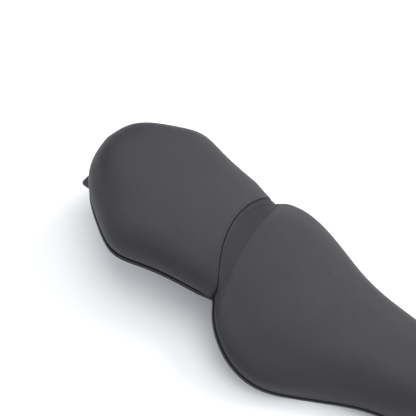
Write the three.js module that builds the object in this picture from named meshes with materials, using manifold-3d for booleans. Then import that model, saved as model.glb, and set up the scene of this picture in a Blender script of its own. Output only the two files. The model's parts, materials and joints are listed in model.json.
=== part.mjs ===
// Two-piece motorcycle seat: a rider seat and a pillion seat that meet at a swept seam.
// Units are millimetres. +X points forward (direction of travel), +Y to the rider's left, +Z up.
// The origin is the middle of the underside of the rider seat's rear bracket.
import * as THREE from 'three';
import { mergeVertices } from 'three/addons/utils/BufferGeometryUtils.js';
import Module from 'manifold-3d';

const wasm = await Module();
wasm.setup();

// ---- driving dimensions -------------------------------------------------------------------
const SEAM_X = 66;            // seam corners, ahead of the origin
const BASE_Z = 16;            // cover's lower edge on the pillion seat, above the frame rails
const SEAM_HALF = 119;        // half width of the seat at the seam
const SEAM_SWEEP = 40;        // how far the middle of the seam lies behind its corners
const SEAM_GAP = 1.6;         // open gap between the two seats
const SKIN = 2;               // cover thickness
const GAP = 0.3;              // air between pieces that touch
const FOAM_DROP = 0.5;        // the foam's top lies this far below the cover's inside
const TALL = 160;             // higher than any cushion, for cutting bodies
const WELD = 2e-3;            // points closer than this are one point
const PLATE = 3;              // wall of the moulded pans
const SKIRT = 10;             // pan rim below the cover's edge
const FLOOR = 5.7;            // top of the pan's plate above the cover's edge
const STEEL = 3;              // sheet steel thickness
const RIB = 2.6;              // rib thickness
const RIB_DEPTH = 7;          // ribs reach this far below the cover's edge
const REST = 16;              // buffers reach this far below the cover's edge
const RIM = 8;                // the cover stands upright this far above its edge
const CROWN = 6;              // how much the top falls from the middle to the side
const SHOULDER = 5.2;         // exponent of the shoulder at the seam, larger is squarer
const SHOULDER_Z = 2.4;       // exponent that rounds the shoulder's height there
const BLEND = 48;             // each seat has its own exponents this far from the seam
const SEAM_SHARP = 55;        // what the seam's middle adds to the first exponent

// Half outlines in plan: control points of a B-spline, from the seam corner to the centreline.
const PILLION_SIDE = [
  [-26, 120], [-75, 124], [-125, 132], [-168, 146],
  [-198, 142], [-240, 112], [-278, 83], [-304, 48], [-310, 0],
];
const RIDER_SIDE = [
  [6, 120], [22, 150], [62, 176], [105, 184], [150, 178], [200, 154],
  [250, 128], [310, 106], [370, 94], [425, 84], [450, 45], [452, 0],
];
// Height of the rider seat's top along the centreline, without its hump: a dish that rises forwards.
const RIDER_DISH = [
  [-45, 36], [-5, 31], [50, 14], [100, 0], [150, -8], [200, -9], [260, -6], [330, -2], [460, 2],
];
const HUMP_RUN = 38;          // the hump in front of the seam runs this far on the centreline
const HUMP_TAPER = 22;        // and this much less at the seam's corners
const DROP = 84;              // the rider seat's lower edge falls this far below the pillion's
const DROP_RUN = 260;         // over this length
const NOSE_RISE = 22;         // and rises again under the nose

// ---- materials -----------------------------------------------------------------------------
const finish = (color, roughness, metalness = 0) =>
  new THREE.MeshStandardMaterial({ color, roughness, metalness });
const vinyl = finish(0x4b494d, 0.62);
const foamGrey = finish(0x5d5f63, 0.95);
const panPlastic = finish(0x17181a, 0.55);
const rubber = finish(0x101112, 0.85);
const zinc = finish(0xb9bbbd, 0.35, 1);
const blackSteel = finish(0x202225, 0.45, 0.8);

// ---- solids ----------------------------------------------------------------------------------
/** The points and faces of a geometry, with equal points merged and empty faces dropped. */
function welded(geometry, tolerance) {
  const bare = geometry.clone();
  bare.deleteAttribute('normal');
  bare.deleteAttribute('uv');
  const merged = mergeVertices(bare, tolerance);
  const triangles = [];
  const index = merged.index.array;
  for (let i = 0; i < index.length; i += 3) {
    const [a, b, c] = [index[i], index[i + 1], index[i + 2]];
    if (a !== b && b !== c && c !== a) triangles.push(a, b, c);
  }
  return { points: merged.attributes.position.array, triangles };
}

/** A manifold solid of a closed geometry. */
function solid(geometry) {
  const { points, triangles } = welded(geometry, 1e-4);
  return new wasm.Manifold(new wasm.Mesh({
    numProp: 3,
    vertProperties: new Float32Array(points),
    triVerts: new Uint32Array(triangles),
  }));
}

/** The three.js geometry of a manifold solid. */
function geometryOf(manifold) {
  const mesh = manifold.getMesh();
  const geometry = new THREE.BufferGeometry();
  geometry.setAttribute('position', new THREE.Float32BufferAttribute(mesh.vertProperties, 3));
  geometry.setIndex(new THREE.Uint32BufferAttribute(mesh.triVerts, 1));
  const { points, triangles } = welded(geometry, WELD);
  geometry.setAttribute('position', new THREE.Float32BufferAttribute(points, 3));
  geometry.setIndex(triangles);
  const flat = geometry.toNonIndexed();
  flat.computeVertexNormals();
  return flat;
}

/** An upright round bar between two heights. */
function post(x, y, low, high, diameter, sides = 16) {
  const bar = new THREE.CylinderGeometry(diameter / 2, diameter / 2, high - low, sides);
  return bar.rotateX(Math.PI / 2).translate(x, y, (low + high) / 2);
}

/** A box between two corners. */
function block([x0, y0, z0], [x1, y1, z1]) {
  const box = new THREE.BoxGeometry(x1 - x0, y1 - y0, z1 - z0);
  return box.translate((x0 + x1) / 2, (y0 + y1) / 2, (z0 + z1) / 2);
}

// ---- outlines and heights ----------------------------------------------------------------------
/** Where the seam runs: a shallow arc, furthest back on the centreline. */
const seamX = (y) => -SEAM_SWEEP * (1 - (y / SEAM_HALF) ** 2);

/** Points of a clamped cubic B-spline. */
function spline(control, perSpan = 2) {
  const p = [control[0], control[0], ...control, control.at(-1), control.at(-1)];
  const points = [];
  for (let k = 1; k < p.length - 2; k += 1) {
    for (let s = 0; s < perSpan; s += 1) {
      const u = s / perSpan;
      const w = [(1 - u) ** 3, 3 * u ** 3 - 6 * u ** 2 + 4, -3 * u ** 3 + 3 * u ** 2 + 3 * u + 1, u ** 3];
      points.push([0, 1].map((i) => w.reduce((sum, wk, j) => sum + wk * p[k - 1 + j][i], 0) / 6));
    }
  }
  return points;
}

/** Closed plan outline, counter-clockwise: left side, round the end, right side, along the seam. */
function outline(side, seamShift, seamSteps = 10) {
  const mirror = side.slice(0, -1).reverse().map(([x, y]) => [x, -y]);
  const half = spline([...side, ...mirror]);
  const middle = Math.floor(half.length / 2);
  const left = half.slice(1, middle).filter(([, y]) => y > 1);
  const tip = [[spline(side).at(-1)[0], 0]];
  const right = left.slice().reverse().map(([x, y]) => [x, -y]);
  const seam = [];
  for (let i = 0; i <= seamSteps; i += 1) {
    const y = SEAM_HALF * (2 * i / seamSteps - 1);
    const sharp = 1 - THREE.MathUtils.smoothstep(Math.abs(y), 0.6 * SEAM_HALF, SEAM_HALF);
    seam.push([seamX(y) + seamShift, y, sharp]);
  }
  const loop = [...left, ...tip, ...right, ...seam];
  return side.at(-1)[0] < 0 ? loop : loop.reverse();
}

/** Height of a smooth curve through points, with slopes taken across each point's neighbours. */
function heightAlong(points, x) {
  const last = points.length - 1;
  let k = 0;
  while (k < last - 1 && x > points[k + 1][0]) k += 1;
  const slope = (i) => {
    const [a, b] = [points[Math.max(i - 1, 0)], points[Math.min(i + 1, last)]];
    return (b[1] - a[1]) / (b[0] - a[0]);
  };
  const [x0, z0] = points[k];
  const [x1, z1] = points[k + 1];
  const width = x1 - x0;
  const t = THREE.MathUtils.clamp((x - x0) / width, 0, 1);
  const ease = t * t * (3 - 2 * t);
  const bend = t * (1 - t) * width;
  return z0 + (z1 - z0) * ease + bend * (slope(k) * (1 - t) - slope(k + 1) * t);
}

/** Each seat: its outline, its spine, its shoulder's exponents, its lower edge and its top. */
const pillion = {
  shoulder: 8,
  rise: 2.8,
  loop: outline(PILLION_SIDE, -SEAM_GAP / 2),
  spine: [-210, -140],
  base: () => 0,
  top: (x, y) => 52 - 54 * x / 320 - CROWN * (y / 140) ** 2,
};
const rider = {
  shoulder: 3.9,
  rise: 2.3,
  loop: outline(RIDER_SIDE, SEAM_GAP / 2),
  spine: [45, 385],
  base: (x) => NOSE_RISE * THREE.MathUtils.smoothstep(x, 240, 350)
    - DROP * Math.sin(Math.PI / 2 * THREE.MathUtils.clamp(x / DROP_RUN, 0, 1)),
  top: (x, y) => {
    const across = Math.min(Math.abs(y) / SEAM_HALF, 1);
    const ahead = Math.max(x - seamX(across * SEAM_HALF), 0);
    const dish = (px) => heightAlong(RIDER_DISH, px) - CROWN * (y / 160) ** 2;
    const run = HUMP_RUN - HUMP_TAPER * across ** 2;
    const seam = seamX(across * SEAM_HALF);
    const hump = pillion.top(seam, across * SEAM_HALF) - dish(seam);
    return dish(x) + hump * Math.max(1 - ahead / run, 0) ** 1.2;
  },
};

/** A seat's outline moved inwards: each point goes along its two edges' mean normal. */
function insetLoop(loop, inset) {
  const count = loop.length;
  const normal = (p, q) => new THREE.Vector2(q[1] - p[1], p[0] - q[0]).normalize();
  return loop.map((point, i) => {
    const before = normal(loop[(i + count - 1) % count], point);
    const after = normal(point, loop[(i + 1) % count]);
    const mean = before.clone().add(after).normalize();
    const reach = inset / Math.max(mean.dot(after), 0.6);
    return [point[0] - mean.x * reach, point[1] - mean.y * reach, point[2]];
  });
}

/** One ring of a seat's surface: its points lie a share of the way from the spine to the outline. */
function ring(seat, share, inset, height) {
  return insetLoop(seat.loop, inset).map(([x, y, sharp = 0], i) => {
    const sx = THREE.MathUtils.clamp(seat.loop[i][0], ...seat.spine);
    const [px, py] = [sx + share * (x - sx), share * y];
    return [px, py, height(px, py, sharp)];
  });
}

/** How much of a cushion's height is left at a share of the way out: a superellipse. */
function heightLeft(seat, share, x, y, sharp) {
  const fromSeam = Math.abs(x - seamX(Math.min(Math.abs(y), SEAM_HALF)));
  const own = THREE.MathUtils.smoothstep(fromSeam, 0, BLEND);
  const outward = THREE.MathUtils.lerp(SHOULDER, seat.shoulder, own) + SEAM_SHARP * sharp;
  const upward = THREE.MathUtils.lerp(SHOULDER_Z, seat.rise, own);
  return (1 - share ** outward) ** (1 / upward);
}

/** The rings of a cushion's top, from the spine out to the rim, \`drop\` below the cover. */
function cushionTop(seat, inset, drop) {
  return [0, 0.38, 0.68, 0.85, 0.95, 0.99, 1].map((share) => ring(seat, share, inset, (x, y, sharp) => {
    const rim = seat.base(x) + RIM;
    return rim + (seat.top(x, y) - drop - rim) * heightLeft(seat, share, x, y, sharp);
  }));
}

/** The rings of a level plate, from the spine out to the outline, `above` the cover's lower edge. */
function plateRings(seat, inset, above) {
  return [0, 0.55, 1].map((share) => ring(seat, share, inset, (x) => seat.base(x) + above));
}

/**
 * A closed solid between two sets of rings, each listed from the spine out: the upper surface and
 * the lower one. Both split their faces along the same diagonal, so stacked solids stay apart.
 */
function ringSolid(upper, lower) {
  const rings = [...upper, ...lower.slice().reverse()];
  const count = rings[0].length;
  const index = [];
  for (let r = 0; r < rings.length - 1; r += 1) {
    for (let i = 0; i < count; i += 1) {
      const [a, b] = [r * count + i, r * count + (i + 1) % count];
      const [c, d] = [a + count, b + count];
      if (r < upper.length) index.push(a, c, b, b, c, d);
      else index.push(a, c, d, a, d, b);
    }
  }
  const geometry = new THREE.BufferGeometry();
  geometry.setAttribute('position', new THREE.Float32BufferAttribute(rings.flat(2), 3));
  geometry.setIndex(index);
  return solid(geometry);
}

/** A slab that fills a seat's outline between two levels above the cover's lower edge. */
const slab = (seat, inset, low, high) =>
  ringSolid(plateRings(seat, inset, high), plateRings(seat, inset, low));

// ---- the soft parts ------------------------------------------------------------------------------
/** The sewn cover: a thin skin over the foam, open below. */
function cover(seat) {
  const edge = (inset) => ring(seat, 1, inset, (x) => seat.base(x));
  return ringSolid([...cushionTop(seat, 0, 0), edge(0)], [...cushionTop(seat, SKIN, SKIN), edge(SKIN)]);
}

/** The moulded foam block: the room inside the cover, a little lower and narrower, above the pan. */
function foam(seat) {
  const lower = ([x, y, z]) => [x, y, z - FOAM_DROP];
  const lowered = cushionTop(seat, SKIN, SKIN).map((points) => points.map(lower));
  const room = ringSolid(lowered, plateRings(seat, SKIN, FLOOR + GAP));
  return room.intersect(slab(seat, SKIN + GAP, 0, TALL));
}

// ---- the moulded pans ------------------------------------------------------------------------------
/** Evenly spaced rib planes across a span, less than 75 mm apart. */
function ribPlaces(from, to) {
  const count = Math.ceil((to - from) / 74);
  return Array.from({ length: count - 1 }, (_, i) => from + (to - from) * (i + 1) / count);
}

/** A pan: a plate with a rim below, cross ribs, flat pads for the buffers and bosses for screws. */
function pan(seat, { pads, bosses, cuts }) {
  const rim = SKIN + GAP;
  const xs = seat.loop.map(([x]) => x);
  const ys = seat.loop.map(([, y]) => y);
  const [x0, x1, y1] = [Math.min(...xs), Math.max(...xs), Math.max(...ys)];
  const outer = slab(seat, rim, -SKIRT, FLOOR);
  const below = slab(seat, rim + PLATE, -SKIRT - 1, FLOOR - PLATE);
  const ribRoom = slab(seat, rim + 1, -RIB_DEPTH, FLOOR - 1);
  const padRoom = slab(seat, rim + 1, -REST, FLOOR - 1);
  const half = RIB / 2;
  let body = outer.subtract(below);
  ribPlaces(x0, x1).forEach((x) => {
    body = body.add(solid(block([x - half, -y1, -TALL], [x + half, y1, TALL])).intersect(ribRoom));
  });
  ribPlaces(RIM - y1, y1 - RIM).forEach((y) => {
    body = body.add(solid(block([x0, y - half, -TALL], [x1, y + half, TALL])).intersect(ribRoom));
  });
  [...pads, ...bosses].forEach(([x, y, bottom, diameter]) => {
    body = body.add(solid(post(x, y, bottom - 1, 60, diameter)).intersect(padRoom));
  });
  [...pads, ...bosses].forEach(([x, y, bottom, diameter, hole, depth]) => {
    body = body.subtract(solid(post(x, y, bottom - SKIRT, bottom, diameter + 3)));
    body = body.subtract(solid(post(x, y, bottom - 1, bottom + depth, hole)));
  });
  cuts.forEach(([low, high]) => {
    body = body.subtract(solid(block(low, high)));
  });
  return body;
}

// ---- small hardware --------------------------------------------------------------------------------
const PAD = { diameter: 30, below: 4, hole: 8.6, depth: 6.4 };
const BUFFER = { disc: 26, neck: 8, neckLength: 6 };
const BOSS = { diameter: 14, hole: 6.2, depth: 7 };
const CUT = 0.2;              // notches in ribs and rims stand this far over the steel parts
const SCREW = { head: 12, headHeight: 4, shank: 5.4, length: 9.5 };
const HOLE = 6.6;             // screw holes through sheet steel

/** Where a buffer's pad sits on a pan: place, underside and hole. */
const padAt = (seat, x, y) => [x, y, seat.base(x) - PAD.below, PAD.diameter, PAD.hole, PAD.depth];

/** A rubber buffer: a tapered foot with a neck that is pushed into its pad. */
function buffer(seat, x, y) {
  const top = -PAD.below - GAP;
  const foot = BUFFER.disc / 2;
  const profile = [
    [0, -REST], [foot - 1, -REST], [foot, -REST + 2], [foot - 1, top],
    [BUFFER.neck / 2, top], [BUFFER.neck / 2, top + BUFFER.neckLength], [0, top + BUFFER.neckLength],
  ].map(([r, z]) => new THREE.Vector2(r, z));
  return new THREE.LatheGeometry(profile, 16).rotateX(Math.PI / 2).translate(x, y, seat.base(x));
}

/** A flanged screw, head down, its shank reaching up through sheet steel into a boss. */
function screw(x, y, underHead) {
  const r = SCREW.head / 2;
  const s = SCREW.shank / 2;
  const profile = [
    [0, -SCREW.headHeight], [5, -SCREW.headHeight], [r, -1], [r, 0], [s, 0], [s, SCREW.length],
    [0, SCREW.length],
  ].map(([a, z]) => new THREE.Vector2(a, z));
  return new THREE.LatheGeometry(profile, 12).rotateX(Math.PI / 2).translate(x, y, underHead);
}

/** A bent strip of sheet steel: a side profile in X and Z carried across Y, with screw holes. */
function bentStrip(profile, width, holes, rounding = 0) {
  const shape = new THREE.Shape(profile.map(([x, z]) => new THREE.Vector2(x, z)));
  const strip = new THREE.ExtrudeGeometry(shape, { depth: width, bevelEnabled: false, steps: 1 });
  strip.rotateX(Math.PI / 2).translate(0, width / 2, 0);
  let body = solid(strip);
  if (rounding) body = body.intersect(solid(roundedEnd(profile, width, rounding)));
  holes.forEach(([x, y]) => {
    body = body.subtract(solid(post(x, y, -TALL, TALL, HOLE)));
  });
  return body;
}

/**
 * A tall prism over a strip, with its free end's two corners rounded. The free end is the front
 * one if `rounding`, the radius, is positive, and the rear one if it is negative.
 */
function roundedEnd(profile, width, rounding) {
  const xs = profile.map(([x]) => x);
  const dir = Math.sign(rounding);
  const free = Math.abs(rounding);
  const end = dir > 0 ? Math.max(...xs) : Math.min(...xs);
  const fixed = dir > 0 ? Math.min(...xs) : Math.max(...xs);
  const plan = new THREE.Shape();
  plan.moveTo(fixed - dir, -width / 2);
  plan.lineTo(end - dir * free, -width / 2);
  plan.quadraticCurveTo(end, -width / 2, end, -width / 2 + free);
  plan.lineTo(end, width / 2 - free);
  plan.quadraticCurveTo(end, width / 2, end - dir * free, width / 2);
  plan.lineTo(fixed - dir, width / 2);
  const prism = { depth: 2 * TALL, bevelEnabled: false, curveSegments: 5 };
  return new THREE.ExtrudeGeometry(plan, prism).translate(0, 0, -TALL);
}

// ---- the nodes ------------------------------------------------------------------------------------
const seatSet = new THREE.Group();
seatSet.position.set(SEAM_X, 0, BASE_Z);

function place(name, shape, material, y = 0) {
  const mesh = new THREE.Mesh(shape.isBufferGeometry ? shape : geometryOf(shape), material);
  mesh.name = name;
  mesh.position.y = y;
  seatSet.add(mesh);
}

const SIDES = [['left', 1], ['right', -1]];
const RIDER_PADS = [['rear', 70, 95], ['middle', 190, 80], ['front', 330, 50]];
const PILLION_PADS = [['front', -88, 80], ['rear', -214, 72]];
const bothSides = (rows, make) => rows.flatMap((row) => SIDES.map(([, s]) => make(row, s)));

// Rear bracket of the rider seat: bolted inside the pan, stepping down under the pillion seat.
const BRACKET = {
  screwX: -9, screwY: 20, width: 64, high: -5, low: -13, tail: -92, stepLow: -34, stepHigh: -25, front: 6,
};
const bracketProfile = [
  [BRACKET.tail, BRACKET.low], [BRACKET.stepLow, BRACKET.low],
  [BRACKET.stepHigh, BRACKET.high], [BRACKET.front, BRACKET.high],
  [BRACKET.front, BRACKET.high - STEEL], [BRACKET.stepHigh + 1, BRACKET.high - STEEL],
  [BRACKET.stepLow + 1, BRACKET.low - STEEL], [BRACKET.tail, BRACKET.low - STEEL],
].reverse();

// Front tongue of the rider seat: its stepped end hooks under the tank's bracket.
const TONGUE = {
  screwX: 372, screwY: 18, width: 56, top: -67, back: 352, step: 453, drop: 3, tip: 476,
};
const tongueProfile = [
  [TONGUE.back, TONGUE.top - STEEL], [TONGUE.step - 1, TONGUE.top - STEEL],
  [TONGUE.step + 3, TONGUE.top - TONGUE.drop - STEEL], [TONGUE.tip, TONGUE.top - TONGUE.drop - STEEL],
  [TONGUE.tip, TONGUE.top - TONGUE.drop], [TONGUE.step + 4, TONGUE.top - TONGUE.drop],
  [TONGUE.step, TONGUE.top], [TONGUE.back, TONGUE.top],
];

// Rear tongues of the pillion seat and the lock's striker.
const HOOK = {
  y: 46, width: 26, top: -5, low: -11, back: -316, stepLow: -300, stepHigh: -294, front: -238,
  screws: [-250, -270],
};
const hookProfile = [
  [HOOK.front, HOOK.top], [HOOK.stepHigh, HOOK.top], [HOOK.stepLow, HOOK.low], [HOOK.back, HOOK.low],
  [HOOK.back, HOOK.low - STEEL], [HOOK.stepLow + 1, HOOK.low - STEEL],
  [HOOK.stepHigh - 1, HOOK.top - STEEL], [HOOK.front, HOOK.top - STEEL],
];
const STRIKER = {
  x: -140, back: -155, front: -125, width: 64, top: -5, screwY: 24, wire: 6, half: 10, depth: 24,
};

const boss = (x, y, bottom) => [x, y, bottom + GAP, BOSS.diameter, BOSS.hole, BOSS.depth];
const riderBosses = SIDES.flatMap(([, s]) => [
  boss(BRACKET.screwX, s * BRACKET.screwY, BRACKET.high),
  boss(TONGUE.screwX, s * TONGUE.screwY, TONGUE.top),
]);
const pillionBosses = SIDES.flatMap(([, s]) => [
  ...HOOK.screws.map((x) => boss(x, s * HOOK.y, HOOK.top)),
  boss(STRIKER.x, s * STRIKER.screwY, STRIKER.top),
]);

/** The room that a pan's moulded edges leave round a steel part, 2 mm wider on each side. */
const notch = (x0, x1, y0, y1, top) => [[x0 - 2, y0 - 2, -TALL], [x1 + 2, y1 + 2, top + CUT]];

// Rider seat
place('rider_cover', cover(rider), vinyl);
place('rider_foam', foam(rider), foamGrey);
place('rider_pan', pan(rider, {
  pads: bothSides(RIDER_PADS, ([, x, y], s) => padAt(rider, x, s * y)),
  bosses: riderBosses,
  cuts: [
    notch(TONGUE.back, TONGUE.tip, -TONGUE.width / 2, TONGUE.width / 2, TONGUE.top),
    notch(BRACKET.tail, BRACKET.front, -BRACKET.width / 2, BRACKET.width / 2, BRACKET.high),
  ],
}), panPlastic);
const bracketHoles = SIDES.map(([, s]) => [BRACKET.screwX, s * BRACKET.screwY]);
const tongueHoles = SIDES.map(([, s]) => [TONGUE.screwX, s * TONGUE.screwY]);
place('rider_rear_bracket', bentStrip(bracketProfile, BRACKET.width, bracketHoles, -14), blackSteel);
place('rider_front_tongue', bentStrip(tongueProfile, TONGUE.width, tongueHoles, 16), blackSteel);
SIDES.forEach(([side, s]) => {
  const underBracket = BRACKET.high - STEEL - GAP;
  const underTongue = TONGUE.top - STEEL - GAP;
  place(`rider_bracket_screw_${side}`, screw(BRACKET.screwX, s * BRACKET.screwY, underBracket), zinc);
  place(`rider_tongue_screw_${side}`, screw(TONGUE.screwX, s * TONGUE.screwY, underTongue), zinc);
  RIDER_PADS.forEach(([name, x, y]) => {
    place(`rider_buffer_${name}_${side}`, buffer(rider, x, s * y), rubber);
  });
});

// Pillion seat
place('pillion_cover', cover(pillion), vinyl);
place('pillion_foam', foam(pillion), foamGrey);
place('pillion_pan', pan(pillion, {
  pads: bothSides(PILLION_PADS, ([, x, y], s) => padAt(pillion, x, s * y)),
  bosses: pillionBosses,
  cuts: [
    ...SIDES.map(([, s]) => {
      const middle = s * HOOK.y;
      return notch(HOOK.back, HOOK.front, middle - HOOK.width / 2, middle + HOOK.width / 2, HOOK.top);
    }),
    notch(STRIKER.back, STRIKER.front, -STRIKER.width / 2, STRIKER.width / 2, STRIKER.top),
  ],
}), panPlastic);
SIDES.forEach(([side, s]) => {
  const holes = HOOK.screws.map((x) => [x, 0]);
  const underStriker = STRIKER.top - STEEL - GAP;
  place(`pillion_tongue_${side}`, bentStrip(hookProfile, HOOK.width, holes, -8), blackSteel, s * HOOK.y);
  HOOK.screws.forEach((x, i) => {
    const which = ['front', 'rear'][i];
    place(`pillion_tongue_screw_${which}_${side}`, screw(x, s * HOOK.y, HOOK.top - STEEL - GAP), zinc);
  });
  place(`pillion_striker_screw_${side}`, screw(STRIKER.x, s * STRIKER.screwY, underStriker), zinc);
  PILLION_PADS.forEach(([name, x, y]) => {
    place(`pillion_buffer_${name}_${side}`, buffer(pillion, x, s * y), rubber);
  });
});

/** The striker's plate: a flat strip with holes for its screws and for the legs of the loop. */
function strikerPlate() {
  const half = STRIKER.width / 2;
  const flat = block([STRIKER.back, -half, STRIKER.top - STEEL], [STRIKER.front, half, STRIKER.top]);
  let body = solid(flat);
  SIDES.forEach(([, s]) => {
    body = body.subtract(solid(post(STRIKER.x, s * STRIKER.screwY, -TALL, TALL, HOLE)));
    body = body.subtract(solid(post(STRIKER.x, s * STRIKER.half, -TALL, TALL, STRIKER.wire + 2 * GAP)));
  });
  return body;
}

/** The striker's loop: a round bar bent to a U that hangs from the plate. */
function strikerLoop() {
  const bottom = STRIKER.top - STRIKER.depth;
  const bend = STRIKER.half;
  const path = new THREE.CurvePath();
  const at = (y, z) => new THREE.Vector3(STRIKER.x, y, z);
  path.add(new THREE.LineCurve3(at(bend, STRIKER.top), at(bend, bottom + bend)));
  const arc = Array.from({ length: 7 }, (_, i) => {
    const angle = Math.PI * i / 6;
    return at(bend * Math.cos(angle), bottom + bend - bend * Math.sin(angle));
  });
  path.add(new THREE.CatmullRomCurve3(arc));
  path.add(new THREE.LineCurve3(at(-bend, bottom + bend), at(-bend, STRIKER.top)));
  const section = new THREE.Shape();
  section.absarc(0, 0, STRIKER.wire / 2, 0, 2 * Math.PI);
  return new THREE.ExtrudeGeometry(section, { extrudePath: path, steps: 20, curveSegments: 5 });
}
place('pillion_striker_plate', strikerPlate(), zinc);
place('pillion_striker_loop', strikerLoop(), zinc);

export default seatSet;
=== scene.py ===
# %% Load the frame
import json
import math

import bmesh
import bpy
import numpy as np
from mathutils import Matrix, Vector


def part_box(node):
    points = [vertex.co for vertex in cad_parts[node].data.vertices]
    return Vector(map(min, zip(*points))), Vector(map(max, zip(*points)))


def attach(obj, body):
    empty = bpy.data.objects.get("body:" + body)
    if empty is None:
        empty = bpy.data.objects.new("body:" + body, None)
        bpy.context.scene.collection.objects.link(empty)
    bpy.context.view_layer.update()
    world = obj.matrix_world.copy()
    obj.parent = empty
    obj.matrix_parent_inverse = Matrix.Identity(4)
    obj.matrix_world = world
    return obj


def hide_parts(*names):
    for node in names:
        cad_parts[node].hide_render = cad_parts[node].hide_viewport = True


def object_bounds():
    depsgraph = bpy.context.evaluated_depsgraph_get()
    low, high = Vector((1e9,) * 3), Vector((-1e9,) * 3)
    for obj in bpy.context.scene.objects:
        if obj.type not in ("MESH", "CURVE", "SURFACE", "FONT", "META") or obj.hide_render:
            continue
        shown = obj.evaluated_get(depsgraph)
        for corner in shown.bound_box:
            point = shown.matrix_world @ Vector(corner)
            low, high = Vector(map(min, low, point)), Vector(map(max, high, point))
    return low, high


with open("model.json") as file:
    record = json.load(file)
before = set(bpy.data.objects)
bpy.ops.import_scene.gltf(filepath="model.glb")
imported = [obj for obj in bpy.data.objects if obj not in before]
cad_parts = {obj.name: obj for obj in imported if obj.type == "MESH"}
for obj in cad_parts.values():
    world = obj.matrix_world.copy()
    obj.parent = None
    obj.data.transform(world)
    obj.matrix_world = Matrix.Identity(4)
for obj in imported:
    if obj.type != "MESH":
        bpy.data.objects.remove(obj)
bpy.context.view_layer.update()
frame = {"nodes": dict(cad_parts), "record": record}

# %% [markdown]
# # A two-piece motorcycle seat
# The seat is two cushions that meet at a curved parting line: a dished rider seat in front and a
# raised pillion seat behind. Each cushion is a vinyl cover drawn over moulded foam on a plastic
# pan. A cushion like this could be modelled by pushing vertices about, by cloth simulation, or as
# a surface worked out from its outline. The foam is moulded and the cover is drawn tight, so the
# outline and the heights say everything: each surface here is a function of two parameters.
# All lengths are in metres. +X is forward and +Y is the rider's left.

# %% Driving dimensions
MM = 0.001
SEAM_HALF = 119 * MM  # half width of the seat at the parting line
SEAM_SWEEP = 40 * MM  # how far the middle of the parting line lies behind its corners
SEAM_GAP = 1.6 * MM  # open gap between the two cushions
SKIN = 1.6 * MM  # the cover's thickness
RIM = 8 * MM  # the cover stands upright this far above its lower edge
CROWN = 6 * MM  # how much the top falls from the middle to the side
SEAM_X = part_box("pillion_cover")[1].x + SEAM_GAP / 2  # the parting line's corners
BASE_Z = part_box("pillion_cover")[0].z  # the pillion cover's lower edge
PLACE = np.array([SEAM_X, 0, BASE_Z])  # the outlines below count from here
print("parting line's corners at x", round(SEAM_X, 4), "lower edge at z", round(BASE_Z, 4))

# %% [markdown]
# ## Surfaces as arrays
# numpy works on whole arrays, so a surface is computed at once for every value of its two
# parameters, and `from_pydata` puts the points and faces into a mesh. These helpers are the small
# tools that every piece below shares.


# %% Array helpers
def ease(x, low, high):
    """0 below low, 1 above high, and the cubic 3t^2 - 2t^3 between them."""
    t = np.clip((x - low) / (high - low), 0, 1)
    return t * t * (3 - 2 * t)


def bspline(control, per_span=24):
    """Points of a cubic B-spline whose end points are held by repeating them twice."""
    p = np.array(control, float)
    p = np.concatenate([p[:1], p[:1], p, p[-1:], p[-1:]])
    u = np.linspace(0, 1, per_span, endpoint=False)[None, :, None]
    weights = [(1 - u) ** 3, 3 * u**3 - 6 * u**2 + 4, -3 * u**3 + 3 * u**2 + 3 * u + 1, u**3]
    spans = sum(w * p[k : len(p) - 3 + k][:, None] for k, w in enumerate(weights)) / 6
    return np.concatenate([spans.reshape(-1, p.shape[1]), p[-1:]])


def curve_height(points, x):
    """A smooth curve through points: on each span a cubic whose end slopes look across its neighbours."""
    px, pz = np.array(points, float).T
    slope = np.gradient(pz, px)
    k = np.clip(np.searchsorted(px, x, side="right") - 1, 0, len(px) - 2)
    width = px[k + 1] - px[k]
    t = np.clip((x - px[k]) / width, 0, 1)
    bend = t * (1 - t) * width
    rise = (pz[k + 1] - pz[k]) * t * t * (3 - 2 * t)
    return pz[k] + rise + bend * (slope[k] * (1 - t) - slope[k + 1] * t)


def smooth_max(a, b, width):
    """The larger of two surfaces, with the valley between them rounded over about that width."""
    return (a + b + np.sqrt((a - b) ** 2 + width**2)) / 2


# %% Mesh helpers
WELD = 0.02 * MM  # points closer than this are one point


def grid_faces(rows, columns, first=0, wrap=False):
    """Quads between neighbouring rows and columns of a grid of vertices; wrap closes the columns."""
    r, c = np.meshgrid(np.arange(rows - 1), np.arange(columns - (0 if wrap else 1)), indexing="ij")
    a, b = r * columns + c, r * columns + (c + 1) % columns
    return first + np.stack([a, b, b + columns, a + columns], -1).reshape(-1, 4)


def make_piece(name, points, faces, attributes=None):
    """A smooth mesh object from arrays, with equal points merged and its faces turned outwards."""
    mesh = bpy.data.meshes.new(name)
    mesh.from_pydata(points.tolist(), [], faces.tolist())
    for key, values in (attributes or {}).items():
        mesh.attributes.new(key, "FLOAT", "POINT").data.foreach_set("value", values.astype(np.float32))
    piece = bpy.data.objects.new(name, mesh)
    bpy.context.collection.objects.link(piece)
    tidy_mesh(mesh)
    mesh.polygons.foreach_set("use_smooth", np.full(len(mesh.polygons), True))
    print(f"{name}: {len(mesh.vertices)} points, {len(mesh.polygons)} faces")
    return piece


def tidy_mesh(mesh):
    """Merges doubles, drops empty faces, and turns the shell outwards by the sign of its volume."""
    bm = bmesh.new()
    bm.from_mesh(mesh)
    bmesh.ops.remove_doubles(bm, verts=bm.verts, dist=WELD)
    bmesh.ops.dissolve_degenerate(bm, edges=bm.edges, dist=WELD / 2)
    if bm.calc_volume(signed=True) < 0:
        bmesh.ops.reverse_faces(bm, faces=bm.faces)
    bm.to_mesh(mesh)
    bm.free()


def sharp_edges(piece, degrees):
    """Keeps edges that bend more than so many degrees crisp in the shading."""
    piece.data.set_sharp_from_angle(angle=math.radians(degrees))
    return piece


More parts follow.
